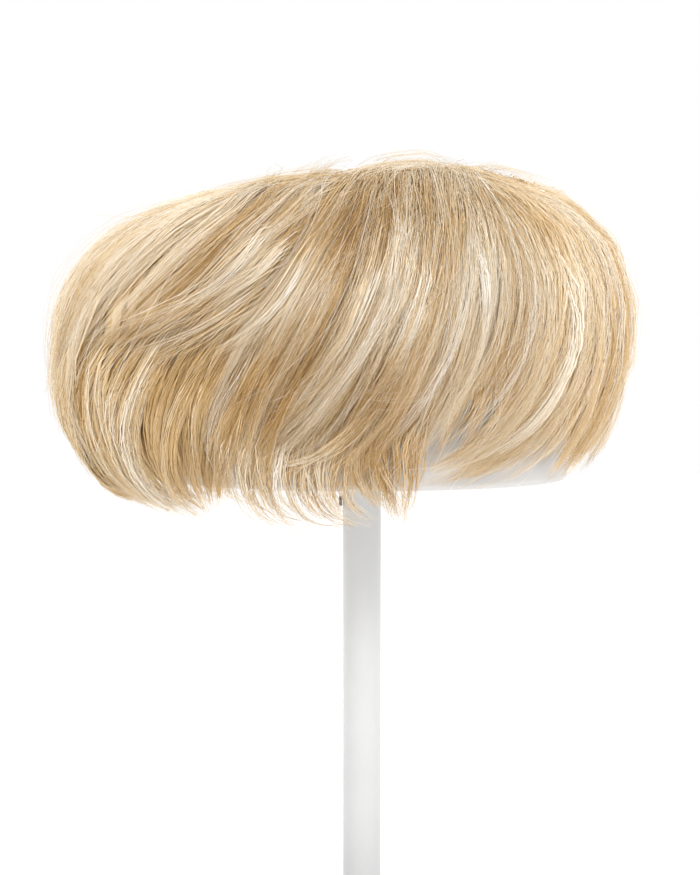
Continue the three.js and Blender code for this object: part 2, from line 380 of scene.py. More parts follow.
def standDome(material):
    low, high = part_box("stand_dome")
    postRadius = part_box("stand_post")[1].x
    radius, edge = high.x, stand["domeEdge"]
    rise = high.z - low.z - edge
    power = stand["domeFullness"]
    rings = []
    edgeSteps = stand["domeEdgeSteps"]
    for i in range(1, edgeSteps + 1):    # round lower edge
        turn = i / edgeSteps * math.pi / 2
        rings.append((radius - edge + edge * math.sin(turn), low.z + edge - edge * math.cos(turn)))
    for i in range(1, stand["domeSteps"]):
        turn = i / stand["domeSteps"] * math.pi / 2
        out = math.cos(turn) ** (2 / power)
        up = math.sin(turn) ** (2 / power)
        rings.append((radius * out, low.z + edge + rise * up))
    deselectAll()
    bpy.ops.mesh.primitive_circle_add(
        vertices=stand["domeSides"], radius=radius - edge, fill_type="NGON", location=(0, 0, low.z))
    piece = bpy.context.object
    bpy.ops.object.transform_apply(location=True)
    bpy.ops.object.mode_set(mode="EDIT")
    bpy.ops.mesh.select_mode(type="FACE")
    bpy.ops.mesh.select_all(action="SELECT")
    lastRadius, lastHeight = radius - edge, low.z
    for ringRadius, height in rings:
        bpy.ops.mesh.extrude_region_move(TRANSFORM_OT_translate={"value": (0, 0, height - lastHeight)})
        share = ringRadius / lastRadius
        bpy.ops.transform.resize(value=(share, share, 1), center_override=(0, 0, height))
        lastRadius, lastHeight = ringRadius, height
    bpy.ops.mesh.select_all(action="SELECT")
    bpy.ops.mesh.normals_make_consistent(inside=False)
    socketIn(piece, lambda c, n: n.z < -0.99 and c.z < low.z + 1e-5,
             radius - edge, postRadius + stand["socketGap"], (0, 0, stand["postInDome"]))
    settle(piece, "dome")
    dress(piece, material)
    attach(piece, "root")
    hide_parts("stand_dome")


def postScrew(material):
    low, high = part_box("post_screw")
    middle = (low + high) / 2
    radius = (high.z - low.z) / 2
    length = high.x - low.x
    deselectAll()
    bpy.ops.mesh.primitive_cylinder_add(
        vertices=stand["screwSides"], radius=radius, depth=length, location=middle,
        rotation=(0, -math.pi / 2, 0))
    piece = bpy.context.object
    bpy.ops.object.transform_apply(location=True, rotation=True)
    bpy.ops.object.mode_set(mode="EDIT")
    selectEdges(piece, lambda a, b: max(a.x, b.x) < low.x + 1e-6)
    bpy.ops.mesh.bevel(offset=radius * stand["screwEdge"], segments=2, affect="EDGES")
    bpy.ops.mesh.select_mode(type="FACE")
    socketIn(piece, lambda c, n: n.x < -0.99, radius * (1 - stand["screwEdge"]),
             radius * stand["screwSocket"], (length * stand["screwSocketDepth"], 0, 0))
    settle(piece, "screw")
    dress(piece, material)
    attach(piece, "root")
    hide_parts("post_screw")


# Hair form, the same as the part's: crown, widest ring and tip ring, in millimetres

form = {
    "crown": (30.0, 15.0, 315.0),
    "plan": (-8.0, 8.0),
    "shoulderFullness": 2.5,
    "bulgeAt": 0.65,
    # azimuth is 0 at the front and 90 on the +X side
    "azimuth": [0, 45, 90, 135, 180, 225, 270, 315],
    "bulgeRadius": [112, 113, 114, 113, 110, 113, 115, 114],
    "bulgeHeight": [238, 240, 242, 242, 242, 239, 236, 236],
    "tipRadius": [102, 97, 95, 95, 90, 78, 64, 90],
    "tipHeight": [178, 193, 192, 185, 178, 177, 177, 180],
    "longestFall": 1.2,       # how far a strand may run on past the tip ring
    "azimuthStep": 1.0,       # of the grid that places are looked up on
    "runStep": 0.005,
}


def spline(p0, p1, p2, p3, t):
    return 0.5 * (2 * p1 + (p2 - p0) * t + (2 * p0 - 5 * p1 + 4 * p2 - p3) * t ** 2
                  + (3 * p1 - p0 - 3 * p2 + p3) * t ** 3)


def ringPoint(azimuth, radiusColumn, heightColumn):
    angle = np.radians(form["azimuth"])
    radius = np.array(form[radiusColumn], float)
    rows = np.stack([form["plan"][0] + radius * np.sin(angle),
                     form["plan"][1] - radius * np.cos(angle),
                     np.array(form[heightColumn], float)], axis=-1)
    count = len(rows)
    place = (azimuth % 360) / 360 * count
    index = np.floor(place).astype(int)
    t = (place - index)[..., None]
    return spline(*(rows[(index + k) % count] for k in (-1, 0, 1, 2)), t)


def smooth(value, low, high):
    t = np.clip((value - low) / (high - low), 0, 1)
    return t * t * (3 - 2 * t)


def coatPoint(azimuth, run):
    crown = np.array(form["crown"])
    bulge = ringPoint(azimuth, "bulgeRadius", "bulgeHeight")
    tip = ringPoint(azimuth, "tipRadius", "tipHeight")
    power = 2 / form["shoulderFullness"]
    turn = np.clip(run / form["bulgeAt"], 0, 1) * math.pi / 2
    out = (np.sin(turn) ** power)[..., None]
    up = (np.maximum(np.cos(turn), 0) ** power)[..., None]
    upper = np.concatenate([crown[:2] + (bulge[..., :2] - crown[:2]) * out,
                            bulge[..., 2:] + (crown[2] - bulge[..., 2:]) * up], axis=-1)
    fall = np.clip((run - form["bulgeAt"]) / (1 - form["bulgeAt"]), 0, form["longestFall"]) * math.pi / 2
    tuck = (1 - np.cos(fall))[..., None]
    drop = np.sin(fall)[..., None]
    lower = np.concatenate([bulge[..., :2] + (tip[..., :2] - bulge[..., :2]) * tuck,
                            bulge[..., 2:] + (tip[..., 2:] - bulge[..., 2:]) * drop], axis=-1)
    return np.where((run <= form["bulgeAt"])[..., None], upper, lower)


def unit(vectors):
    return vectors / np.maximum(np.linalg.norm(vectors, axis=-1, keepdims=True), 1e-9)


def coatNormal(azimuth, run):
    runReach, azimuthReach = 0.004, 0.5
    along = coatPoint(azimuth, run + runReach) - coatPoint(azimuth, run - runReach)
    across = coatPoint(azimuth + azimuthReach, run) - coatPoint(azimuth - azimuthReach, run)
    return unit(np.cross(along, across))


# Places on the form: by azimuth and run, from above, or as the picture shows them

picture = {"width": 700, "height": 875}

formAzimuth, formRun = np.meshgrid(
    np.arange(0, 360, form["azimuthStep"]), np.arange(0.01, 1.0, form["runStep"]))
formPoints = coatPoint(formAzimuth, formRun).reshape(-1, 3)
formNormals = coatNormal(formAzimuth, formRun).reshape(-1, 3)
upperForm = formRun.ravel() < form["bulgeAt"]


def cameraAxes():
    tilt = math.radians(studio["elevation"])
    back = np.array([0, -math.cos(tilt), math.sin(tilt)])
    up = np.array([0, math.sin(tilt), math.cos(tilt)])
    eye = (np.array(studio["aim"]) + studio["distance"] * back) / mm
    return eye, back, up


def inPicture(points):
    # picture places of points, and pixels for a millimetre at each
    eye, back, up = cameraAxes()
    ray = points - eye
    scale = picture["height"] * studio["distance"] / studio["pictureHeight"] / -(ray @ back)
    across = picture["width"] / 2 + scale * ray[:, 0]
    down = picture["height"] / 2 - scale * (ray @ up)
    return np.stack([across, down], axis=-1), scale


eyePoint, _, pictureUp = cameraAxes()
facing = (formNormals * (eyePoint - formPoints)).sum(axis=-1) > 0
facingPoints, facingNormals = formPoints[facing], formNormals[facing]
facingPlaces, facingScale = inPicture(facingPoints)


def seen(places):
    # the form's points that show at these picture places, or beside them where a tip hangs clear of the form
    found = np.array([np.argmin(((facingPlaces - place) ** 2).sum(axis=-1)) for place in places])
    miss = (np.array(places) - facingPlaces[found]) / facingScale[found, None]
    return facingPoints[found] + miss[:, :1] * (1, 0, 0) - miss[:, 1:] * pictureUp, facingNormals[found]


def onTop(places):
    # points of the upper form below these places in plan
    points, normals = formPoints[upperForm], formNormals[upperForm]
    found = np.array([np.argmin(((points[:, :2] - place) ** 2).sum(axis=-1)) for place in places])
    return points[found], normals[found]


def around(places):
    azimuth, run = np.array(places, float).T
    return coatPoint(azimuth, run), coatNormal(azimuth, run)


# Flow of the hair. A sheet is a row of guides, and locks are laid between neighbouring guides

whorl = (22.0, 38.0)       # where the hair turns away on the top, in millimetres
rootSpread = (0.55, 0.15)  # how far the roots follow their locks to the sides and to the front

# Places in the picture from the top edge to the tip, sheet by sheet and guide by guide
pictureGuides = {
    "left sweep": {
        "edge": [(222, 190), (178, 210), (132, 240), (96, 275), (70, 314), (56, 352)],
        "upper": [(240, 184), (205, 208), (165, 240), (125, 278), (92, 315), (66, 352), (54, 384)],
        "outer": [(255, 179), (236, 211), (205, 240), (165, 277), (125, 315), (92, 352), (72, 386)],
        "middle": [(293, 173), (272, 198), (249, 227), (215, 262), (172, 303), (132, 340), (98, 372)],
        "inner": [(322, 173), (307, 198), (287, 225), (255, 268), (215, 308), (172, 343), (128, 372)],
        "curl": [(364, 173), (352, 198), (345, 225), (322, 275), (290, 312), (245, 343), (190, 370)],
    },
    "top left": {
        "high": [(452, 163), (410, 160), (368, 163), (326, 170), (284, 181), (244, 199), (206, 226)],
        "low": [(440, 172), (408, 172), (376, 180), (346, 196), (318, 220), (292, 250), (268, 282)],
    },
    "top right": {
        "high": [(396, 162), (440, 160), (482, 168), (522, 182), (560, 204), (590, 236)],
        "low": [(410, 174), (446, 174), (480, 184), (510, 204), (534, 234), (550, 270)],
    },
    "left lick": {
        "upper": [(272, 198), (240, 246), (195, 288), (148, 316), (100, 334), (60, 346)],
        "lower": [(300, 232), (276, 284), (242, 316), (200, 344), (158, 364), (112, 378)],
    },
    "pale locks": {
        "part": [(396, 186), (396, 214), (397, 240), (393, 268), (385, 298), (371, 330), (352, 362)],
        "part thin": [(384, 190), (382, 216), (379, 240), (372, 266), (361, 300), (347, 334), (326, 366),
                      (298, 392)],
        "between": [(408, 196), (411, 226), (410, 258), (403, 290), (390, 322), (372, 354)],
        "second": [(412, 214), (423, 246), (426, 272), (420, 300), (409, 332), (392, 362), (368, 390)],
        "curl": [(338, 190), (327, 218), (314, 252), (296, 288), (268, 320), (236, 344), (205, 360),
                 (180, 367)],
        "left curl": [(314, 196), (300, 224), (280, 252), (254, 278), (226, 298), (196, 320)],
        "far curl": [(284, 194), (268, 228), (246, 258), (216, 286), (182, 308)],
        "fringe tip": [(424, 326), (404, 370), (374, 412), (336, 446), (290, 466), (234, 472)],
        "upright": [(452, 172), (456, 205), (455, 240), (450, 280), (442, 320)],
        "right inner": [(462, 182), (474, 222), (482, 262), (485, 302), (481, 342), (466, 378)],
        "right": [(500, 176), (538, 225), (560, 268), (572, 310), (570, 352), (550, 396), (512, 440),
                  (440, 478)],
    },
    "veil": {
        "left": [(470, 350), (456, 396), (442, 436), (430, 476)],
        "middle": [(516, 352), (494, 400), (468, 442), (440, 478)],
        "right": [(572, 352), (552, 404), (526, 446), (494, 480)],
        "far": [(602, 352), (588, 404), (566, 448), (536, 482)],
    },
    "centre sweep": {
        "left": [(345, 175), (325, 210), (300, 255), (268, 300), (240, 340), (218, 385), (205, 430),
                 (203, 485)],
        "pale": [(368, 172), (352, 215), (332, 260), (305, 310), (280, 355), (255, 405), (240, 450),
                 (238, 492)],
        "middle": [(380, 172), (372, 215), (362, 262), (340, 312), (312, 362), (285, 410), (265, 452),
                   (256, 494)],
        "right": [(395, 172), (390, 220), (384, 265), (367, 305), (345, 350), (313, 390), (280, 425),
                  (248, 462)],
    },
    "fringe": {
        "left": [(395, 172), (390, 215), (389, 255), (370, 311), (343, 361), (310, 412), (272, 452),
                 (228, 482)],
        "second": [(412, 172), (408, 205), (405, 257), (393, 300), (372, 350), (340, 408), (298, 456),
                   (232, 490)],
        "middle": [(432, 172), (432, 218), (430, 265), (418, 310), (400, 355), (375, 408), (335, 458),
                   (270, 495)],
        "fourth": [(452, 172), (455, 215), (452, 260), (447, 305), (433, 350), (410, 402), (378, 454),
                   (322, 495)],
        "right": [(470, 172), (480, 222), (482, 275), (476, 330), (456, 382), (430, 425), (402, 462),
                  (372, 492)],
    },
    "right inner": {
        "left": [(462, 172), (474, 215), (482, 260), (482, 305), (470, 350), (448, 394), (425, 435),
                 (404, 478)],
        "middle": [(474, 172), (494, 212), (508, 257), (511, 305), (500, 350), (476, 392), (448, 424),
                   (418, 460)],
        "right": [(486, 172), (514, 212), (534, 257), (541, 305), (534, 350), (514, 391), (480, 428),
                  (434, 456)],
    },
    "right middle": {
        "left": [(488, 172), (514, 212), (534, 260), (542, 310), (536, 352), (518, 394), (488, 438),
                 (444, 471), (398, 482)],
        "middle": [(498, 174), (542, 212), (568, 262), (577, 310), (571, 355), (552, 402), (520, 444),
                   (474, 473), (412, 484)],
        "right": [(512, 178), (560, 212), (590, 262), (601, 310), (596, 356), (580, 402), (552, 440),
                  (516, 470), (478, 484)],
    },
    "right edge": {
        "left": [(512, 178), (556, 212), (584, 262), (596, 310), (595, 360), (587, 408), (573, 447),
                 (554, 471), (540, 482)],
        "middle": [(520, 180), (578, 210), (611, 262), (621, 310), (617, 365), (601, 417), (581, 453),
                   (561, 475), (544, 485)],
        "right": [(530, 182), (592, 212), (624, 270), (633, 325), (628, 380), (609, 428), (587, 459),
                  (566, 479), (549, 488)],
    },
    "left hang": {
        "rim": [(96, 262), (66, 310), (55, 360), (57, 410), (74, 453), (103, 485), (138, 503)],
        "edge": [(112, 290), (78, 335), (66, 380), (70, 425), (88, 465), (115, 490), (150, 506)],
        "outer": [(150, 285), (112, 335), (94, 380), (93, 420), (104, 455), (128, 487), (168, 508)],
        "second": [(185, 280), (150, 330), (124, 385), (116, 430), (125, 468), (150, 497), (192, 513)],
        "middle": [(220, 280), (185, 335), (160, 385), (152, 430), (158, 465), (176, 494), (214, 516)],
        "fourth": [(250, 285), (218, 335), (192, 385), (180, 430), (179, 468), (188, 496), (212, 518)],
        "fifth": [(285, 285), (252, 335), (224, 390), (210, 435), (205, 476), (214, 518)],
        "inner": [(315, 290), (285, 340), (254, 390), (235, 432), (226, 474), (232, 508)],
        "right": [(345, 295), (312, 345), (284, 392), (263, 432), (254, 474), (260, 500)],
    },
    "wisps": {
        "far left": [(234, 395), (223, 440), (224, 474), (234, 496), (252, 510)],
        "left": [(262, 395), (247, 440), (244, 475), (250, 500), (266, 520), (295, 529)],
        "second": [(295, 395), (277, 440), (271, 475), (279, 503), (302, 524), (336, 533)],
        "middle": [(335, 395), (316, 440), (309, 478), (316, 507), (338, 525), (370, 531)],
        "right": [(378, 395), (357, 440), (347, 478), (351, 505), (370, 520), (398, 523)],
    },
    "fluff": {
        "high arc": [(352, 176), (372, 157), (396, 149), (421, 148), (450, 157), (480, 173), (515, 191)],
        "low arc": [(345, 182), (368, 166), (402, 158), (440, 162), (472, 173), (517, 192)],
        "right arc": [(430, 166), (470, 166), (512, 178), (552, 196), (590, 222)],
        "low haze": [(352, 174), (390, 165), (430, 163), (470, 171), (508, 184)],
        "left haze": [(335, 169), (295, 172), (250, 180), (205, 197), (160, 222)],
        "left rim": [(160, 210), (112, 244), (76, 288), (54, 340), (48, 395), (58, 440)],
        "right rim": [(560, 192), (602, 226), (630, 276), (639, 330), (635, 385), (615, 430)],
    },
    "tufts": {
        "far left": [(262, 196), (268, 182), (274, 168), (281, 160)],
        "left": [(296, 190), (306, 172), (320, 158), (338, 152)],
        "left curl": [(318, 186), (322, 168), (334, 156), (352, 152)],
        "right haze": [(450, 172), (488, 163), (525, 171), (562, 189)],
    },
    "strays": {
        "part cross": [(350, 232), (374, 209), (400, 196), (422, 190)],
        "part fall": [(454, 172), (441, 200), (416, 236), (392, 264)],
        "part wisp": [(424, 174), (444, 205), (461, 240), (470, 272)],
        "part back": [(398, 264), (428, 250), (450, 233), (464, 214)],
        "left cross": [(250, 262), (280, 232), (312, 206), (336, 190)],
        "part rise": [(362, 238), (372, 214), (384, 192), (398, 174)],
        "part thread": [(378, 244), (404, 226), (426, 204), (440, 184)],
        "right thin": [(530, 184), (588, 235), (606, 285), (603, 335), (590, 380), (570, 425)],
        "left low": [(255, 345), (236, 380), (222, 412), (216, 442), (218, 474)],
        "left arc": [(118, 352), (102, 386), (96, 420), (106, 450), (132, 476)],
        "low cross": [(330, 372), (300, 392), (286, 402), (262, 410)],
        "fringe cross": [(432, 384), (410, 396), (384, 400), (352, 396)],
    },
    "tuft": {
        "far left": [(368, 395), (352, 436), (348, 468), (358, 494), (378, 514)],
        "left": [(398, 395), (378, 440), (376, 475), (386, 505), (400, 532)],
        "right": [(446, 392), (429, 432), (418, 470), (412, 503), (406, 530)],
    },
}

# Azimuth and run from the top to the tip, for what the picture doesn't show
sideGuides = {
    "left side": {
        "front": [(-44, 0.25), (-48, 0.44), (-60, 0.60), (-73, 0.76), (-72, 0.95)],
        "middle": [(-84, 0.25), (-87, 0.45), (-90, 0.63), (-90, 0.80), (-82, 0.99)],
        "rear": [(-108, 0.25), (-110, 0.45), (-110, 0.66), (-108, 0.84), (-100, 0.99)],
    },
    "back": {
        "left": [(-100, 0.25), (-103, 0.46), (-105, 0.66), (-106, 0.84), (-108, 0.98)],
        "left rear": [(-135, 0.25), (-139, 0.46), (-144, 0.66), (-150, 0.84), (-156, 0.98)],
        "middle": [(180, 0.25), (178, 0.46), (174, 0.66), (168, 0.84), (160, 0.98)],
        "right rear": [(140, 0.25), (139, 0.46), (136, 0.66), (130, 0.84), (121, 0.98)],
        "right": [(106, 0.25), (106, 0.46), (103, 0.66), (96, 0.83), (82, 1.0)],
        "right front": [(78, 0.25), (80, 0.46), (80, 0.64), (74, 0.78), (60, 0.93)],
    },
    "crown": {
        turn: [(turn, 0.03), (turn + 10, 0.14), (turn + 16, 0.28), (turn + 20, 0.48)]
        for turn in range(0, 361, 30)
    },
    "front under": {
        "left": [(-100, 0.12), (-100, 0.32), (-100, 0.50), (-100, 0.70), (-96, 1.0)],
        "left front": [(-65, 0.12), (-65, 0.32), (-66, 0.50), (-66, 0.70), (-60, 1.02)],
        "fringe left": [(-35, 0.12), (-36, 0.32), (-38, 0.50), (-38, 0.70), (-36, 0.95)],
        "fringe": [(-8, 0.12), (-9, 0.32), (-12, 0.50), (-15, 0.70), (-18, 0.86)],
        "fringe right": [(16, 0.12), (15, 0.32), (13, 0.50), (11, 0.66), (9, 0.79)],
        "part": [(28, 0.12), (28, 0.32), (26, 0.46), (24, 0.60), (21, 0.73)],
        "right front": [(50, 0.12), (50, 0.32), (49, 0.44), (48, 0.59), (44, 0.76)],
        "right": [(80, 0.12), (80, 0.32), (80, 0.48), (78, 0.66), (72, 0.88)],
        "right rear": [(108, 0.12), (108, 0.32), (108, 0.50), (106, 0.70), (102, 0.92)],
    },
}

# Places in plan on the top of the form, in millimetres
topGuides = {
    "crown cross": {
        "left": [(-44, 8), (-47, 24), (-52, 40), (-60, 58), (-72, 76)],
        "left middle": [(-16, 6), (-17, 24), (-20, 42), (-24, 62), (-30, 84)],
        "middle": [(14, 4), (14, 24), (15, 44), (14, 66), (12, 90)],
        "right middle": [(46, 2), (48, 22), (52, 42), (56, 62), (60, 82)],
        "right": [(66, -8), (76, 8), (84, 24), (90, 42), (92, 58)],
    },
    "part fill": {
        "front": [(-36, 33), (-6, 34), (24, 34), (48, 29), (66, 20)],
        "rear": [(-40, 46), (-8, 48), (22, 48), (52, 44), (76, 34)],
    },
    "side fill": {
        "front": [(26, -10), (46, -14), (65, -18), (83, -22), (97, -26)],
        "middle": [(26, 2), (48, -2), (68, -6), (86, -9), (99, -11)],
        "rear": [(28, 16), (50, 12), (70, 8), (88, 4), (101, 2)],
    },
}

places = 9         # places along each guide once they are spread evenly
finePlaces = 80    # places on the way, by which its length is measured


def evenly(points, normals):
    # a smooth curve through the points, cut into even lengths
    share = np.linspace(0, 1, finePlaces)[None]
    curve = alongCurve(points[None], share)[0]
    turned = alongCurve(normals[None], share)[0]
    length = np.concatenate([[0], np.cumsum(np.linalg.norm(np.diff(curve, axis=0), axis=-1))])
    at = np.linspace(0, length[-1], places)
    return (np.stack([np.interp(at, length, curve[:, k]) for k in range(3)], axis=-1),
            np.stack([np.interp(at, length, turned[:, k]) for k in range(3)], axis=-1))


def alongCurve(controls, t):
    # smooth curves through their places, t from 0 at the root to 1 at the tip
    spans = controls.shape[1] - 1
    before = 2 * controls[:, :1] - controls[:, 1:2]
    after = 2 * controls[:, -1:] - controls[:, -2:-1]
    padded = np.concatenate([before, controls, after], axis=1)
    index = np.clip((t * spans).astype(int), 0, spans - 1)
    share = (t * spans - index)[..., None]
    rows = np.arange(len(controls))[:, None]
    return spline(*(padded[rows, index + k] for k in range(4)), share)


def acrossSheet(guides, at):
    # curves between neighbouring guides, at from 0 on the first guide
    swapped = np.swapaxes(guides, 0, 1)
    share = np.repeat((at / (len(guides) - 1))[None], guides.shape[1], axis=0)
    return np.swapaxes(alongCurve(swapped, share), 0, 1)


def sheetGuides(name, rooted):
    rows = []
    for find, guidesOf in ((seen, pictureGuides), (onTop, topGuides), (around, sideGuides)):
        if name in guidesOf:
            found = [find(guide) for guide in guidesOf[name].values()]
    for points, normals in found:
        if rooted:    # from the root line over the top
            root = np.array(whorl) + (points[0, :2] - whorl) * rootSpread
            topPoints, topNormals = onTop([root, (root + points[0, :2]) / 2])
            points = np.concatenate([topPoints, points])
            normals = np.concatenate([topNormals, normals])
        rows.append(evenly(points, normals))
    return np.stack([row[0] for row in rows]), np.stack([row[1] for row in rows])


# Strands and locks as joined tubes

tube = {
    "tipLength": 3,      # of the point at the tip, in half widths
    "mapEdge": 0.02,     # free margin at the ends of the strand map
    "mapTip": 0.01,      # the end points' places in that margin
}


class HairMesh:
    # gathers tubes as arrays until one joined mesh is made of them
    def __init__(self):
        self.points = []
        self.faces = []
        self.places = []
        self.count = 0

    def addTubes(self, centre, normal, halfWidth, halfHeight, sides, tone, toneWidth, run):
        tubes, rings = centre.shape[:2]
        along = unit(np.gradient(centre, axis=1))
        across = unit(np.cross(normal, along))
        up = np.cross(along, across)
        angles = np.arange(sides) * 2 * math.pi / sides + math.pi / 2
        rim = (across[:, :, None] * (np.cos(angles)[:, None] * halfWidth[:, :, None, None])
               + up[:, :, None] * (np.sin(angles)[:, None] * halfHeight[:, :, None, None]))
        body = centre[:, :, None] + rim
        tipEnd = centre[:, -1] + along[:, -1] * halfWidth[:, -1, None] * tube["tipLength"]
        rootEnd = centre[:, 0]
        points = np.concatenate([body.reshape(tubes, -1, 3), tipEnd[:, None], rootEnd[:, None]], axis=1)
        tipIndex, rootIndex = rings * sides, rings * sides + 1
        faces = []
        corners = []    # column and ring of each face corner, for the strand map
        for ring in range(rings - 1):
            for side in range(sides):
                nextSide = (side + 1) % sides
                a, b = ring * sides + side, ring * sides + nextSide
                c, d = a + sides, b + sides
                faces += [(a, b, d), (a, d, c)]
                corners += [((side, ring), (side + 1, ring), (side + 1, ring + 1)),
                            ((side, ring), (side + 1, ring + 1), (side, ring + 1))]
        for side in range(sides):
            nextSide = (side + 1) % sides
            last = (rings - 1) * sides
            faces += [(last + side, last + nextSide, tipIndex), (nextSide, side, rootIndex)]
            corners += [((side, rings - 1), (side + 1, rings - 1), (side + 0.5, rings)),
                        ((side + 1, 0), (side, 0), (side + 0.5, -1))]
        faces = np.array(faces)
        corners = np.array(corners, float)
        column = corners[:, :, 0] / sides
        ring = corners[:, :, 1].astype(int)
        beyond = ((ring == rings) * 1.0 - (ring == -1)) * tube["mapTip"]
        inside = ring.clip(0, rings - 1)
        u = (tone[:, inside].clip(0, 1) * (1 - toneWidth)) + toneWidth * column
        v = tube["mapEdge"] + (1 - 2 * tube["mapEdge"]) * run[:, inside] + beyond
        starts = self.count + np.arange(tubes) * points.shape[1]
        self.points.append(points.reshape(-1, 3))
        self.faces.append((faces[None] + starts[:, None, None]).reshape(-1, 3))
        self.places.append(np.stack([u, v], axis=-1).reshape(-1, 2))
        self.count += tubes * points.shape[1]

    def build(self, name, material, *nodes):
        mesh = bpy.data.meshes.new(name)
        faces = np.concatenate(self.faces)
        mesh.from_pydata(np.concatenate(self.points) * mm, [], faces)
        strandMap = mesh.uv_layers.new(name="OFBake")
        strandMap.data.foreach_set("uv", np.concatenate(self.places).astype(np.float32).ravel())
        mesh.shade_smooth()
        mesh.update()
        piece = bpy.data.objects.new(name, mesh)
        bpy.context.scene.collection.objects.link(piece)
        dress(piece, material)
        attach(piece, "root")
        if nodes:
            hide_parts(*nodes)
        print(name, len(faces), "triangles")
        return len(faces)


hair = {
    "seed": 7,
    "toneColumn": 1 / 96,      # width of one strand's column in the strand map
    "rootDepth": -3.0,         # roots lie this far under the form, in millimetres
    "rootScatter": 6.0,        # how far the roots spread round the root line
    "rootRise": 0.16,          # share of a strand over which it rises to its layer
    "rootTone": -0.16,         # painted shade, darker at the roots
    "rootStart": 0.07,         # where the last strands of a rooted lock start
    "hiddenDepth": -9.0,       # the same for an under sheet, which starts below the locks that cover it
    "hiddenRise": 0.36,
    # painted shade at the start of an under sheet, below the locks that cover it
    "hiddenTone": -0.10,
    "hiddenStart": 0.22,
    "rootCore": 0.02,          # where the solid core of a rooted lock starts, and of a hidden one
    "hiddenCore": 0.26,
    "coreDepth": -1.1,         # the core lies this far under its lock
    "coreHeight": (0.3, 0.8),  # half height as a share of the half width, and at most
    "coreEnds": (0.1, 0.08),   # share of its width at the root and at the tip
    "coreSides": 6,
    "coreColumn": 0.12,        # width of its column in the strand map
    "rootWidth": 0.4,          # width of a lock at the roots, as a share
    "lockCrest": 0.7,          # how much higher the middle of a lock lies, and of a clump
    "clumpCrest": 0.35,
    "topDrop": 4.5,            # the dense hair of the top lies this far under the loose hair
    "topHeights": (284.0, 312.0),
    "clumps": 6,               # small clumps in each lock
    "clumpWidth": 0.75,        # half width of a clump
    "clumpGather": 0.8,        # how much it draws together at its tip
    "clumpTone": 0.0595,
    "strandTone": 0.05,
    "paintedEdgeShade": -0.13,         # painted shade, darker towards the edges of a lock and paler in its middle
    "edgeMiddle": 0.4,         # where the painted edge shade is nothing, as a square of the width
    "paintedLayerShade": 0.10,         # painted shade: paler locks on top, darker ones under them
    "radius": (0.08, 0.16),    # of single strands
    "thinning": 0.75,          # share of it that is lost at the tip
    "strandSides": 3,
    "strandScatter": 3.0,      # how far single roots spread from those of their lock
    "lateRise": 0.7,           # how much later a strand rises that starts late, as a share
}

# How the locks and strands stray from their guides, in millimetres
loose = {
    "drift": 2.2,                  # of a lock to one side by its tip
    "bend": 1.6,                   # at its middle
    "curl": 0.9,                   # to both sides in turn, and how many turns
    "curlTurns": 1.7,
    "swell": (0.2, 1.1),           # up and down, and how many turns
    "swellTurns": 1.5,
    "palerLocks": (0.10, 0.16),    # share of the locks, and the tone added
    "palerStrands": (0.06, 0.18),
    "clumpLevel": (-0.5, 0.9),     # heights of the clumps in a lock
    "rise": 0.25,                  # of single strands up and down
    "ends": 0.03,                  # how much single strands differ in length, as a share
    "wander": 0.6,                 # of single strands to one side by their tips
    "wave": 0.45,
    "waveTurns": (0.4, 1.1),
    "strays": 0.14,                # share of strands that stray, and how much more they do
    "strayWave": 4.0,
    "strayLift": 1.4,
}

# Where along its length each change of a lock or strand starts and is complete
spans = {
    "cross": (0.1, 0.9),
    "widen": (0.0, 0.35),
    "gather": (0.5, 1.0),
    "drift": (0.2, 1.0),
    "curl": (0.1, 0.4),
    "sink": (0.55, 1.0),
    "roots": (0.0, 0.3),
    "coreOpen": (0.0, 0.3),
    "clump": (0.55, 1.0),
    "frizz": (0.05, 0.5),
    "wander": (0.2, 1.0),
    "thin": (0.4, 1.0),
}

# What a sheet of locks is like where its own row doesn't say otherwise, in millimetres
usual = {
    "rooted": True,           # comes from the root line, or else starts under the locks above it
    "rings": 10,
    "depth": (-4.5, 0.8),     # under and over the form
    "halfWidth": (1.3, 3.4),
    "tone": 0.60,
    "toneSpread": 0.08,
    "contrast": 1.0,          # share of the painted edge and layer shade
    # darker cores: painted shade in the gaps between the strands over them
    "coreTone": -0.08,
    "coreWidth": 0.68,        # as a share of the lock's width
    "coreLength": 0.84,
    "coreTaper": 0.6,         # where along its length the core starts to close
    "ends": 0.84,             # shortest lock as a share of its guide
    "ragged": 0.12,           # how much the clumps of a lock differ in length
    "gather": 0.4,            # how much a lock draws together at its tip
    "cross": 0.15,            # how far a lock strays from its guide, in guides
    "tousle": 1.0,            # share of the usual sway
    "sink": 0.0,              # how far the tip sinks among its neighbours
    "thick": 1.0,             # strand radius as a share of the usual one
    "core": True,
    "coreStart": None,        # where the core starts, if not where its kind does
    "starts": None,           # where the last strands start, if not where those of their kind do
    "single": False,          # each guide is one lock, with nothing between the guides
}

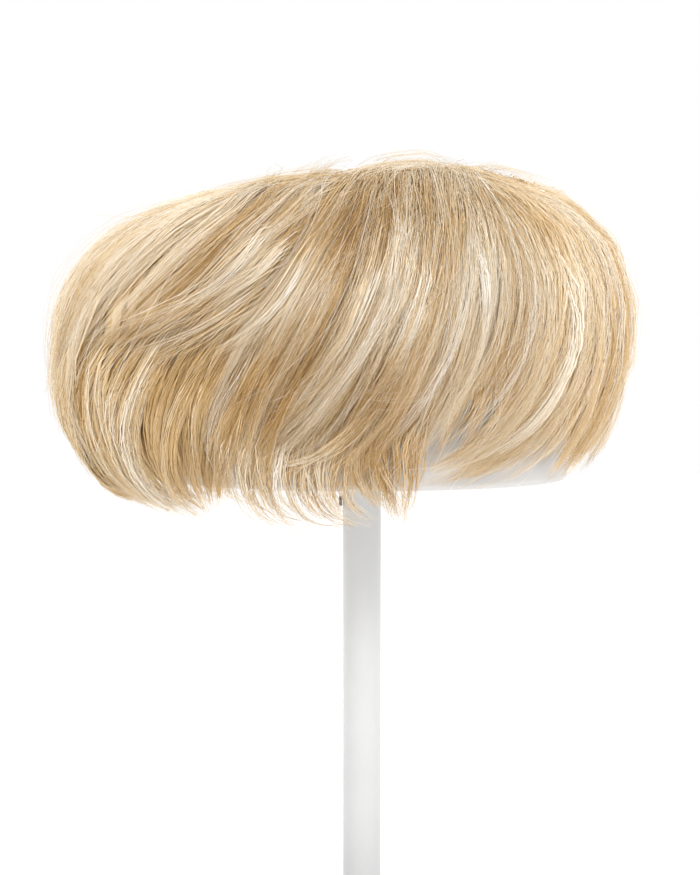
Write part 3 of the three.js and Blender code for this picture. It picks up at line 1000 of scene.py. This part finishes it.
sheets = [
    # paler tone: painted backlight on the left rim
    {"guides": "left side", "piece": "leftHair", "locks": 38, "strands": 16, "rings": 8, "tone": 0.66,
     "toneSpread": 0.05, "contrast": 0.5, "coreTone": -0.10, "ends": 0.90, "gather": 0.3},
    {"guides": "left sweep", "piece": "leftHair", "locks": 70, "strands": 20, "tone": 0.60, "contrast": 0.4,
     "coreTone": -0.05, "ends": 0.62, "ragged": 0.18, "sink": 1.0, "gather": 0.2, "cross": 0.25},
    # darker tone: painted shade under the sweep above it
    {"guides": "left hang", "piece": "leftUnderHair", "rooted": False, "locks": 78, "strands": 20,
     "rings": 9, "depth": (-4.0, 0.4), "halfWidth": (1.4, 4.0), "tone": 0.505, "toneSpread": 0.06,
     "contrast": 0.5, "coreTone": -0.07, "coreWidth": 0.5, "ends": 0.97, "ragged": 0.13, "gather": 0.1,
     "cross": 0.25, "thick": 1.3},
    {"guides": "centre sweep", "piece": "sweepHair", "locks": 66, "strands": 20, "depth": (-5.5, 0.8),
     "toneSpread": 0.13, "contrast": 1.3, "ends": 0.93, "cross": 0.4, "tousle": 1.6},
    {"guides": "fringe", "piece": "fringeHair", "locks": 80, "strands": 21, "depth": (-5.5, 1.4),
     "toneSpread": 0.14, "contrast": 1.3, "ends": 0.88, "cross": 0.4, "tousle": 1.6},
    # darker tone: painted shade of the inner hair under the locks
    {"guides": "front under", "piece": "frontUnderHair", "rooted": False, "locks": 100, "strands": 2,
     "rings": 8, "depth": (-7.0, -4.5), "halfWidth": (4.0, 6.0), "tone": 0.50, "toneSpread": 0.04,
     "coreTone": -0.02, "coreWidth": 1.0, "coreLength": 1.0, "coreTaper": 0.85, "ends": 0.96,
     "ragged": 0.06, "gather": 0.0},
    {"guides": "top left", "piece": "looseHair", "rooted": False, "locks": 26, "strands": 5,
     "depth": (-2.0, 1.6), "halfWidth": (0.6, 2.6), "tone": 0.62, "ends": 0.60, "ragged": 0.3,
     "gather": 0.0, "cross": 0.3, "core": False},
    {"guides": "top right", "piece": "looseHair", "rooted": False, "locks": 20, "strands": 5,
     "depth": (-2.0, 1.6), "halfWidth": (0.6, 2.6), "tone": 0.60, "ends": 0.60, "ragged": 0.3,
     "gather": 0.0, "cross": 0.3, "core": False},
    {"guides": "left sweep", "piece": "looseHair", "locks": 44, "strands": 4, "depth": (0.2, 1.6),
     "halfWidth": (0.3, 0.9), "tone": 0.64, "ends": 0.60, "sink": 2.0, "cross": 0.7, "core": False},
    {"guides": "left lick", "piece": "looseHair", "rooted": False, "locks": 30, "strands": 5,
     "depth": (-1.0, 0.8), "halfWidth": (0.8, 2.4), "tone": 0.60, "ends": 0.70, "ragged": 0.3,
     "gather": 0.0, "cross": 0.3, "core": False},
    {"guides": "centre sweep", "piece": "looseHair", "locks": 56, "strands": 4, "depth": (0.2, 1.8),
     "halfWidth": (0.3, 0.9), "tone": 0.66, "ends": 0.60, "cross": 0.9, "core": False},
    {"guides": "fringe", "piece": "looseHair", "locks": 70, "strands": 4, "depth": (0.4, 2.2),
     "halfWidth": (0.3, 0.9), "tone": 0.68, "ends": 0.70, "cross": 0.7, "core": False},
    {"guides": "right inner", "piece": "looseHair", "locks": 30, "strands": 4, "depth": (0.4, 2.0),
     "halfWidth": (0.3, 0.9), "tone": 0.70, "ends": 0.60, "cross": 0.8, "core": False},
    {"guides": "pale locks", "piece": "looseHair", "rooted": False, "locks": 33, "strands": 15,
     "depth": (0.2, 1.8), "halfWidth": (1.2, 3.0), "tone": 0.705, "toneSpread": 0.04, "ends": 0.80,
     "gather": 0.5, "cross": 0.0, "tousle": 0.5, "thick": 1.35, "starts": 0.45, "core": False,
     "single": True},
    {"guides": "wisps", "piece": "wispHair", "rooted": False, "locks": 130, "strands": 5, "rings": 9,
     "depth": (-4.0, -1.0), "halfWidth": (0.5, 2.0), "tone": 0.60, "ends": 0.66, "ragged": 0.2,
     "thick": 1.35, "core": False},
    {"guides": "tuft", "piece": "wispHair", "rooted": False, "locks": 40, "strands": 10, "rings": 9,
     "depth": (-4.0, -1.0), "halfWidth": (1.0, 2.4), "tone": 0.56, "ends": 0.86, "ragged": 0.25,
     "thick": 1.35, "core": False},
    {"guides": "veil", "piece": "wispHair", "rooted": False, "locks": 56, "strands": 6, "rings": 9,
     "depth": (-5.0, -1.5), "halfWidth": (0.8, 2.4), "tone": 0.56, "ends": 0.74, "ragged": 0.25,
     "core": False},
    {"guides": "right inner", "piece": "rightHair", "locks": 38, "strands": 17, "depth": (-5.0, 1.0),
     "ends": 0.86, "ragged": 0.14},
    {"guides": "right middle", "piece": "rightHair", "locks": 40, "strands": 17, "halfWidth": (1.2, 3.2),
     "tone": 0.615, "toneSpread": 0.06, "contrast": 0.5, "coreTone": -0.05, "coreLength": 0.92,
     "ends": 0.95, "ragged": 0.07},
    {"guides": "right edge", "piece": "rightHair", "locks": 36, "strands": 18, "rings": 9,
     "halfWidth": (1.4, 3.6), "tone": 0.49, "toneSpread": 0.05, "contrast": 0.5, "coreTone": -0.06,
     "ends": 0.95, "ragged": 0.08, "gather": 0.3},
    {"guides": "back", "piece": "backHair", "locks": 116, "strands": 17, "rings": 7,
     "halfWidth": (1.8, 4.2), "tone": 0.60, "contrast": 0.7, "coreTone": -0.12, "coreWidth": 0.45,
     "coreLength": 0.74, "ends": 0.94, "ragged": 0.14, "gather": 0.1, "thick": 1.6},
    # darker tone: painted shade of the inner hair under the locks
    {"guides": "crown", "piece": "backUnderHair", "rooted": False, "locks": 48, "strands": 3, "rings": 7,
     "depth": (-5.5, -3.5), "halfWidth": (5.0, 7.0), "tone": 0.50, "toneSpread": 0.04, "coreTone": -0.04,
     "coreWidth": 1.0, "coreLength": 1.0, "coreTaper": 0.85, "coreStart": 0.0, "gather": 0.0},
    {"guides": "crown cross", "piece": "backUnderHair", "rooted": False, "locks": 44, "strands": 9,
     "rings": 8, "thick": 1.4, "depth": (-4.5, -0.5), "halfWidth": (1.6, 3.6), "tone": 0.58, "starts": 0.5,
     "ends": 0.80, "ragged": 0.3, "gather": 0.0, "cross": 0.3, "core": False},
    {"guides": "part fill", "piece": "backUnderHair", "rooted": False, "locks": 14, "strands": 6,
     "rings": 7, "depth": (-4.5, -2.0), "halfWidth": (2.5, 4.0), "tone": 0.52, "coreTone": -0.04,
     "coreStart": 0.0, "coreTaper": 0.85, "starts": 0.4, "gather": 0.0},
    {"guides": "side fill", "piece": "backUnderHair", "rooted": False, "locks": 16, "strands": 6,
     "rings": 7, "depth": (-2.2, 0.2), "halfWidth": (2.0, 3.2), "tone": 0.57, "coreTone": -0.06,
     "coreStart": 0.0, "coreTaper": 0.85, "starts": 0.4, "gather": 0.0, "thick": 1.4},
    # darker tone: painted shade of the inner hair under the locks
    {"guides": "back", "piece": "backUnderHair", "locks": 240, "strands": 0, "rings": 7,
     "depth": (-7.5, -3.5), "halfWidth": (1.5, 2.6), "tone": 0.48, "coreTone": 0.0, "coreWidth": 1.0,
     "coreLength": 0.94, "coreTaper": 0.6, "ends": 0.84, "ragged": 0.06, "gather": 0.0},
]

replaced = {
    # CAD nodes that each piece of hair stands for
    "leftHair": ("left_lock_", 7),
    "fringeHair": ("fringe_lock_", 7),
    "rightHair": ("right_lock_", 6),
    "backHair": ("back_lock_", 8),
}


# Folds of the hair, with painted shade and painted highlights laid over them: picture places, reach and
# depth in millimetres, and tone of the painted shade and highlight
spots = {
    # painted shade at the roots, in the slits between locks and in the hollows under folds, over real dents
    "part roots": ([(376, 178), (364, 206), (350, 226), (338, 242)], 11.0, -1.5, -0.40),
    "part slit": ([(391, 212), (388, 230), (384, 246), (378, 264)], 2.4, -3.5, -0.44),
    "between slit": ([(407, 226), (405, 250), (399, 276)], 2.2, -2.5, -0.30),
    "curl slit": ([(347, 280), (338, 307), (328, 334)], 2.6, -3.0, -0.34),
    "left slit": ([(299, 252), (290, 270), (276, 292)], 2.6, -2.0, -0.26),
    "second slit": ([(371, 222), (368, 248), (358, 278)], 3.0, -2.5, -0.28),
    "third slit": ([(435, 252), (436, 276), (431, 298)], 2.6, -3.0, -0.42),
    "fourth slit": ([(330, 330), (312, 358), (290, 384)], 3.5, -2.5, -0.26),
    "fifth slit": ([(412, 350), (392, 384), (366, 414)], 3.5, -2.5, -0.26),
    "part right": ([(402, 202), (424, 208), (444, 222), (440, 246)], 9.0, -0.5, -0.17),
    "second roots": ([(268, 202), (284, 214), (296, 232)], 8.0, -1.0, -0.20),
    "right roots": ([(440, 188), (475, 196), (510, 205), (540, 218)], 12.0, 0.0, -0.13),
    "left pocket": ([(238, 200), (230, 225), (212, 250), (190, 272)], 6.5, -1.2, -0.24),
    "left fold": ([(125, 358), (165, 366), (205, 370)], 11.0, -1.5, -0.11),
    "under the curl": ([(250, 388), (285, 364), (268, 412)], 11.0, -2.5, -0.18),
    "lower fringe": ([(372, 405), (365, 435), (385, 460)], 12.0, -2.5, -0.18),
    # painted highlights on the crests of locks, and painted backlight on the pale edges
    "fringe light": ([(396, 238), (396, 268), (388, 300)], 5.5, 2.0, 0.10),
    "second light": ([(424, 280), (416, 310), (404, 338)], 5.5, 2.0, 0.09),
    "sweep light": ([(330, 250), (306, 290)], 10.0, 1.5, 0.08),
    "left light": ([(195, 208), (165, 235), (120, 265)], 15.0, 2.0, 0.10),
    "left edge": ([(62, 320), (56, 370), (66, 425), (90, 470)], 10.0, -2.0, 0.17),
    "right light": ([(490, 280), (535, 290), (575, 290)], 14.0, 1.0, 0.11),
    "low edge": ([(112, 482), (150, 494), (190, 500), (228, 490)], 11.0, 0.0, 0.08),
    "top": ([(210, 196), (255, 178), (300, 166), (350, 159), (400, 156), (450, 160), (500, 173),
             (540, 188), (572, 206)], 15.0, -1.0, 0.0),
    "right tuck": ([(622, 418), (612, 440), (597, 460)], 18.0, -6.5, 0.0),
    "right edge": ([(600, 225), (628, 275), (634, 330), (628, 385)], 11.0, -2.0, -0.03),
}
spotPoints = [seen(row[0])[0] for row in spots.values()]


def foldsAndPaintedLight(base):
    # depth that the folds add at these points, and their painted shade and painted highlights as tone
    depthExtra = np.zeros(base.shape[:-1])
    paintedShadeAndLight = np.zeros(base.shape[:-1])
    for points, (_, reach, depth, tone) in zip(spotPoints, spots.values()):
        apart = np.min([((base - point) ** 2).sum(axis=-1) for point in points], axis=0)
        near = np.exp(-apart / reach ** 2)
        depthExtra += depth * near
        paintedShadeAndLight += tone * near
    return depthExtra, paintedShadeAndLight


def onCurves(points, normals, t, lateral, depth, drop):
    # places beside and above the curves, and the painted shade and highlights that their place adds as tone
    base = alongCurve(points, t)
    normal = unit(alongCurve(normals, t))
    across = unit(np.cross(normal, unit(np.gradient(base, axis=1))))
    beside = base + across * lateral[..., None]
    depthExtra, paintedShadeAndLight = foldsAndPaintedLight(beside)
    depthExtra = depthExtra - drop * smooth(beside[..., 2], *hair["topHeights"])
    return beside + normal * (depth + depthExtra)[..., None], normal, paintedShadeAndLight


def layLocks(sheet, mesh, rng):
    guides, guideNormals = sheetGuides(sheet["guides"], sheet["rooted"])
    count, strands, rings = sheet["locks"], sheet["strands"], sheet["rings"]
    at = (np.arange(count) + rng.random(count)) / count * (len(guides) - 1)
    if sheet["single"]:
        at = np.arange(count) % len(guides)
    # a lock leaves its guide a little on the way down and crosses its neighbours
    crossed = np.clip(at + rng.normal(0, sheet["cross"], count), 0, len(guides) - 1)
    share = smooth(np.linspace(0, 1, guides.shape[1]), *spans["cross"])[None, :, None]
    points = acrossSheet(guides, at) * (1 - share) + acrossSheet(guides, crossed) * share
    normals = acrossSheet(guideNormals, at)
    level = rng.random(count)
    depth = sheet["depth"][0] + (sheet["depth"][1] - sheet["depth"][0]) * level
    halfWidth = rng.uniform(*sheet["halfWidth"], count)
    lockEnd = rng.uniform(sheet["ends"], 1.0, count)
    drift = rng.normal(0, loose["drift"], count) * sheet["tousle"]
    bend = rng.normal(0, loose["bend"], count) * sheet["tousle"]
    curl = rng.normal(0, loose["curl"], count) * sheet["tousle"]
    curlPhase = rng.random(count) * 2 * math.pi
    swell = rng.uniform(*loose["swell"], count)
    swellPhase = rng.random(count) * 2 * math.pi
    kind = "root" if sheet["rooted"] else "hidden"
    low, rise, paintedRootShade = hair[kind + "Depth"], hair[kind + "Rise"], hair[kind + "Tone"]
    rootShift = rng.normal(0, hair["rootScatter"], (count, 2)) * sheet["rooted"]
    tone = sheet["tone"] + rng.normal(0, sheet["toneSpread"], count)
    # painted shade: deeper locks darker, higher ones paler
    tone = tone + sheet["contrast"] * hair["paintedLayerShade"] * (2 * level - 1)
    palerShare, palerTone = loose["palerLocks"]
    paler = np.where(rng.random(count) < palerShare, palerTone, 0.0)
    step = np.linspace(0, 1, rings)

    def shape(lock, t):
        # half width, sideways sway and height of the locks along their length
        width = hair["rootWidth"] + (1 - hair["rootWidth"]) * smooth(t, *spans["widen"])
        width = width * (1 - sheet["gather"] * smooth(t, *spans["gather"]))
        away = smooth(t, *spans["curl"])
        curlTurn = 2 * math.pi * loose["curlTurns"] * t + curlPhase[lock, None]
        swellTurn = 2 * math.pi * loose["swellTurns"] * t + swellPhase[lock, None]
        sway = drift[lock, None] * smooth(t, *spans["drift"]) + bend[lock, None] * np.sin(math.pi * t)
        sway = sway + curl[lock, None] * np.sin(curlTurn) * away
        height = depth[lock, None] + swell[lock, None] * np.sin(swellTurn) * away
        height = height - sheet["sink"] * smooth(t, *spans["sink"])
        return halfWidth[lock, None] * width, sway, height

    def fromRoots(centre, t, shift):
        # spreads the roots along the root line
        centre[..., :2] += shift[:, None] * (1 - smooth(t, *spans["roots"]))[..., None]
        return centre

    # one solid core in each lock, its darker tone painted shade under the strands
    if sheet["core"]:
        coreStart = hair[kind + "Core"] if sheet["coreStart"] is None else sheet["coreStart"]
        t = coreStart + (lockEnd * sheet["coreLength"] - coreStart)[:, None] * step[None]
        width, sway, height = shape(np.arange(count), t)
        coreDepth = low + (height + hair["coreDepth"] - low) * smooth(t, 0, rise)
        centre, normal, paintedShadeAndLight = onCurves(points, normals, t, sway, coreDepth, hair["topDrop"])
        rootEnd, tipEnd = hair["coreEnds"]
        close = rootEnd + (1 - rootEnd) * smooth(step, *spans["coreOpen"])
        close = (close - (1 - tipEnd) * smooth(step, sheet["coreTaper"], 1.0))[None]
        flatness, highest = hair["coreHeight"]
        coreTone = (tone + sheet["coreTone"])[:, None] + paintedRootShade * (1 - smooth(t, *spans["roots"])) + paintedShadeAndLight
        mesh.addTubes(fromRoots(centre, t, rootShift), normal, sheet["coreWidth"] * width * close,
                      np.minimum(flatness * width, highest) * close, hair["coreSides"], coreTone,
                      hair["coreColumn"], t)

    if not strands:
        return
    # strands of each lock, in small clumps that draw together towards their tips
    lock = np.repeat(np.arange(count), strands)
    total = count * strands
    clump = rng.integers(0, hair["clumps"], total)

    def byClump(low, high):
        return rng.uniform(low, high, (count, hair["clumps"]))[lock, clump]

    clumpSide = byClump(-1, 1)
    clumpLevel = byClump(*loose["clumpLevel"])
    clumpTone = byClump(-1, 1) * hair["clumpTone"]
    start = rng.random(total) * (sheet["starts"] or hair[kind + "Start"])
    end = lockEnd[lock] - byClump(0, 1) * sheet["ragged"] - np.abs(rng.normal(0, loose["ends"], total))
    t = start[:, None] + (end - start)[:, None] * step[None]
    stray = rng.random(total) < loose["strays"]
    offset = rng.uniform(-1, 1, total)
    width, sway, height = shape(lock, t)
    clumpWidth = hair["clumpWidth"] * (1 - hair["clumpGather"] * smooth(t / end[:, None], *spans["clump"]))
    wave = rng.normal(0, loose["wave"], total) * np.where(stray, loose["strayWave"], 1.0)
    phase = rng.random(total) * 2 * math.pi
    turns = rng.uniform(*loose["waveTurns"], total)
    frizz = np.sin(2 * math.pi * turns[:, None] * t + phase[:, None]) * smooth(t, *spans["frizz"])
    lateral = clumpSide[:, None] * width + offset[:, None] * clumpWidth + wave[:, None] * frizz + sway
    lateral = lateral + rng.normal(0, loose["wander"], total)[:, None] * smooth(t, *spans["wander"])
    crest = (1 - clumpSide ** 2) * hair["lockCrest"] + clumpLevel + (1 - offset ** 2) * hair["clumpCrest"]
    crest = crest + rng.uniform(-loose["rise"], loose["rise"], total)
    crest = crest + np.where(stray, rng.uniform(0, loose["strayLift"], total), 0)
    risen = smooth(t - start[:, None] * hair["lateRise"], 0, rise)
    strandDepth = low + (height + crest[:, None] - low) * risen
    centre, normal, paintedShadeAndLight = onCurves(
        points[lock], normals[lock], t, lateral, strandDepth, hair["topDrop"])
    ownShift = rootShift[lock] + rng.normal(0, hair["strandScatter"], (total, 2)) * sheet["rooted"]
    radius = rng.uniform(*hair["radius"], total)[:, None] * sheet["thick"]
    radius = radius * (1 - hair["thinning"] * smooth(step, *spans["thin"]))
    # painted shade on the edges of a lock, painted highlight on its middle
    edge = hair["paintedEdgeShade"] * (clumpSide ** 2 - hair["edgeMiddle"])
    ownTone = (tone + paler)[lock] + clumpTone + sheet["contrast"] * edge
    ownTone = ownTone + rng.normal(0, hair["strandTone"], total)
    palerShare, palerTone = loose["palerStrands"]
    ownTone = ownTone + np.where(rng.random(total) < palerShare, palerTone, 0)
    strandTone = ownTone[:, None] + paintedRootShade * (1 - smooth(t, *spans["roots"])) + paintedShadeAndLight
    mesh.addTubes(fromRoots(centre, t, ownShift), normal, radius, radius, hair["strandSides"], strandTone,
                  hair["toneColumn"], t)


flyaways = {
    "kinds": [
        # sheets, strands for each, usual lift, sideways wander and drop on the top in millimetres, radius
        {"sheets": ["left side", "left sweep", "centre sweep", "fringe", "right inner", "right middle",
                    "right edge", "back"],
         "each": 100, "lift": 1.3, "wander": 10.0, "drop": 4.5, "radius": (0.05, 0.10)},
        {"sheets": ["left side", "left sweep", "centre sweep", "fringe", "right middle", "right edge",
                    "back"],
         "each": 30, "lift": 2.0, "wander": 7.0, "drop": 4.0, "radius": (0.045, 0.07)},
        {"sheets": ["left sweep", "centre sweep", "fringe", "right inner"],
         "each": 50, "lift": 1.1, "wander": 17.0, "drop": 4.5, "radius": (0.05, 0.09)},
        {"sheets": ["left side", "right edge", "back"],
         "each": 70, "lift": 1.8, "wander": 3.0, "drop": 4.0, "radius": (0.04, 0.065)},
    ],
    "rings": 8,
    "tones": (0.55, 0.97),
    "lastStart": 0.45,          # where along the guide the last ones start
    "length": (0.3, 0.6),       # as shares of the guide
    "lifts": (0.1, 7.0),        # lowest and highest lift in millimetres
    "rootDepth": -1.5,          # they come out from this far under the form
    "arch": (0.1, 0.75),        # where on a half turn the arch of a hair starts, and how much it takes
    "wanderPower": 1.5,
    "tipRadius": 0.6,           # as a share of the radius at the root
    "bundles": [
        # guides, hairs along each, width, depths and drop in millimetres, radius, tones
        {"guides": "fluff", "each": 48, "width": 5.0, "depth": (-7.5, 0.5), "drop": 0.0,
         "radius": (0.06, 0.10), "tones": (0.50, 0.90)},
        {"guides": "tufts", "each": 30, "width": 3.0, "depth": (-3.0, 0.5), "drop": 0.0,
         "radius": (0.045, 0.08), "tones": (0.45, 0.85)},
        {"guides": "strays", "each": 15, "width": 2.0, "depth": (0.0, 2.0), "drop": 4.0,
         "radius": (0.05, 0.09), "tones": (0.66, 0.95)},
    ],
    "bundleTrim": 0.35,         # most that a hair of a bundle is cut short at either end, as a share
    "bundleFan": 2.2,           # how far its hairs turn away from each other, and about which place
    "bundleWaist": 0.4,
    "bundleRise": 1.0,          # of its tips up and down
}


def addHairs(mesh, rng, centre, normal, radii, tones, t):
    # single hairs, each of one tone and a little thinner at its tip
    total, rings = t.shape
    radius = rng.uniform(*radii, total)[:, None] * np.linspace(1, flyaways["tipRadius"], rings)[None]
    tone = np.repeat(rng.uniform(*tones, total)[:, None], rings, axis=1)
    mesh.addTubes(centre, normal, radius, radius, hair["strandSides"], tone, hair["toneColumn"], t)


def layFlyaways(mesh, rng):
    # single hairs that stand off the form and cross the others
    step = np.linspace(0, 1, flyaways["rings"])
    archStart, archShare = flyaways["arch"]
    arch = np.sin(math.pi * (archStart + archShare * step))[None]
    rootDepth = flyaways["rootDepth"]
    for kind in flyaways["kinds"]:
        for name in kind["sheets"]:
            guides, guideNormals = sheetGuides(name, True)
            total = kind["each"]
            at = rng.uniform(0, len(guides) - 1, total)
            start = rng.random(total) * flyaways["lastStart"]
            end = (start + rng.uniform(*flyaways["length"], total)).clip(0, 1.0)
            t = start[:, None] + (end - start)[:, None] * step[None]
            lift = rng.exponential(kind["lift"], total).clip(*flyaways["lifts"])[:, None]
            depth = rootDepth + (lift - rootDepth) * arch
            lateral = rng.normal(0, kind["wander"], total)[:, None] * (step ** flyaways["wanderPower"])[None]
            points, normals = acrossSheet(guides, at), acrossSheet(guideNormals, at)
            centre, normal, _ = onCurves(points, normals, t, lateral, depth, kind["drop"])
            addHairs(mesh, rng, centre, normal, kind["radius"], flyaways["tones"], t)


def layBundles(mesh, rng):
    # thin bundles along their own guides, loosely spread
    step = np.linspace(0, 1, flyaways["rings"])
    for bundle in flyaways["bundles"]:
        guides, guideNormals = sheetGuides(bundle["guides"], False)
        total = len(guides) * bundle["each"]
        owner = np.repeat(np.arange(len(guides)), bundle["each"])
        start = rng.random(total) * flyaways["bundleTrim"]
        end = 1 - rng.random(total) * flyaways["bundleTrim"]
        t = start[:, None] + (end - start)[:, None] * step[None]
        lateral = rng.normal(0, bundle["width"], total)[:, None]
        fan = rng.normal(0, flyaways["bundleFan"], total)[:, None]
        lateral = lateral + fan * (step - flyaways["bundleWaist"])
        depth = rng.uniform(*bundle["depth"], total)[:, None]
        depth = depth + rng.normal(0, flyaways["bundleRise"], total)[:, None] * step ** 2
        centre, normal, _ = onCurves(guides[owner], guideNormals[owner], t, lateral, depth, bundle["drop"])
        addHairs(mesh, rng, centre, normal, bundle["radius"], bundle["tones"], t)


def layHair(material):
    rng = np.random.default_rng(hair["seed"])
    meshes = {}
    for row in sheets:
        sheet = usual | row
        layLocks(sheet, meshes.setdefault(sheet["piece"], HairMesh()), rng)
    crownMesh = HairMesh()
    layFlyaways(crownMesh, rng)
    layBundles(crownMesh, rng)
    triangles = crownMesh.build("crownHair", material, "crown_hair")
    for name, mesh in meshes.items():
        stem, locks = replaced.get(name, ("", 0))
        triangles += mesh.build(name, material, *(f"{stem}{i + 1}" for i in range(locks)))
    print("hair laid,", triangles, "triangles")


buildStudio()
satinPaint = paintMaterial("satin white paint")
standFoot(satinPaint)
standPost(satinPaint)
standDome(paintMaterial("matt white dome"))
postScrew(screwMaterial())
dress(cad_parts["base_cap"], netMaterial())
print("stand built")
layHair(fibreMaterial())
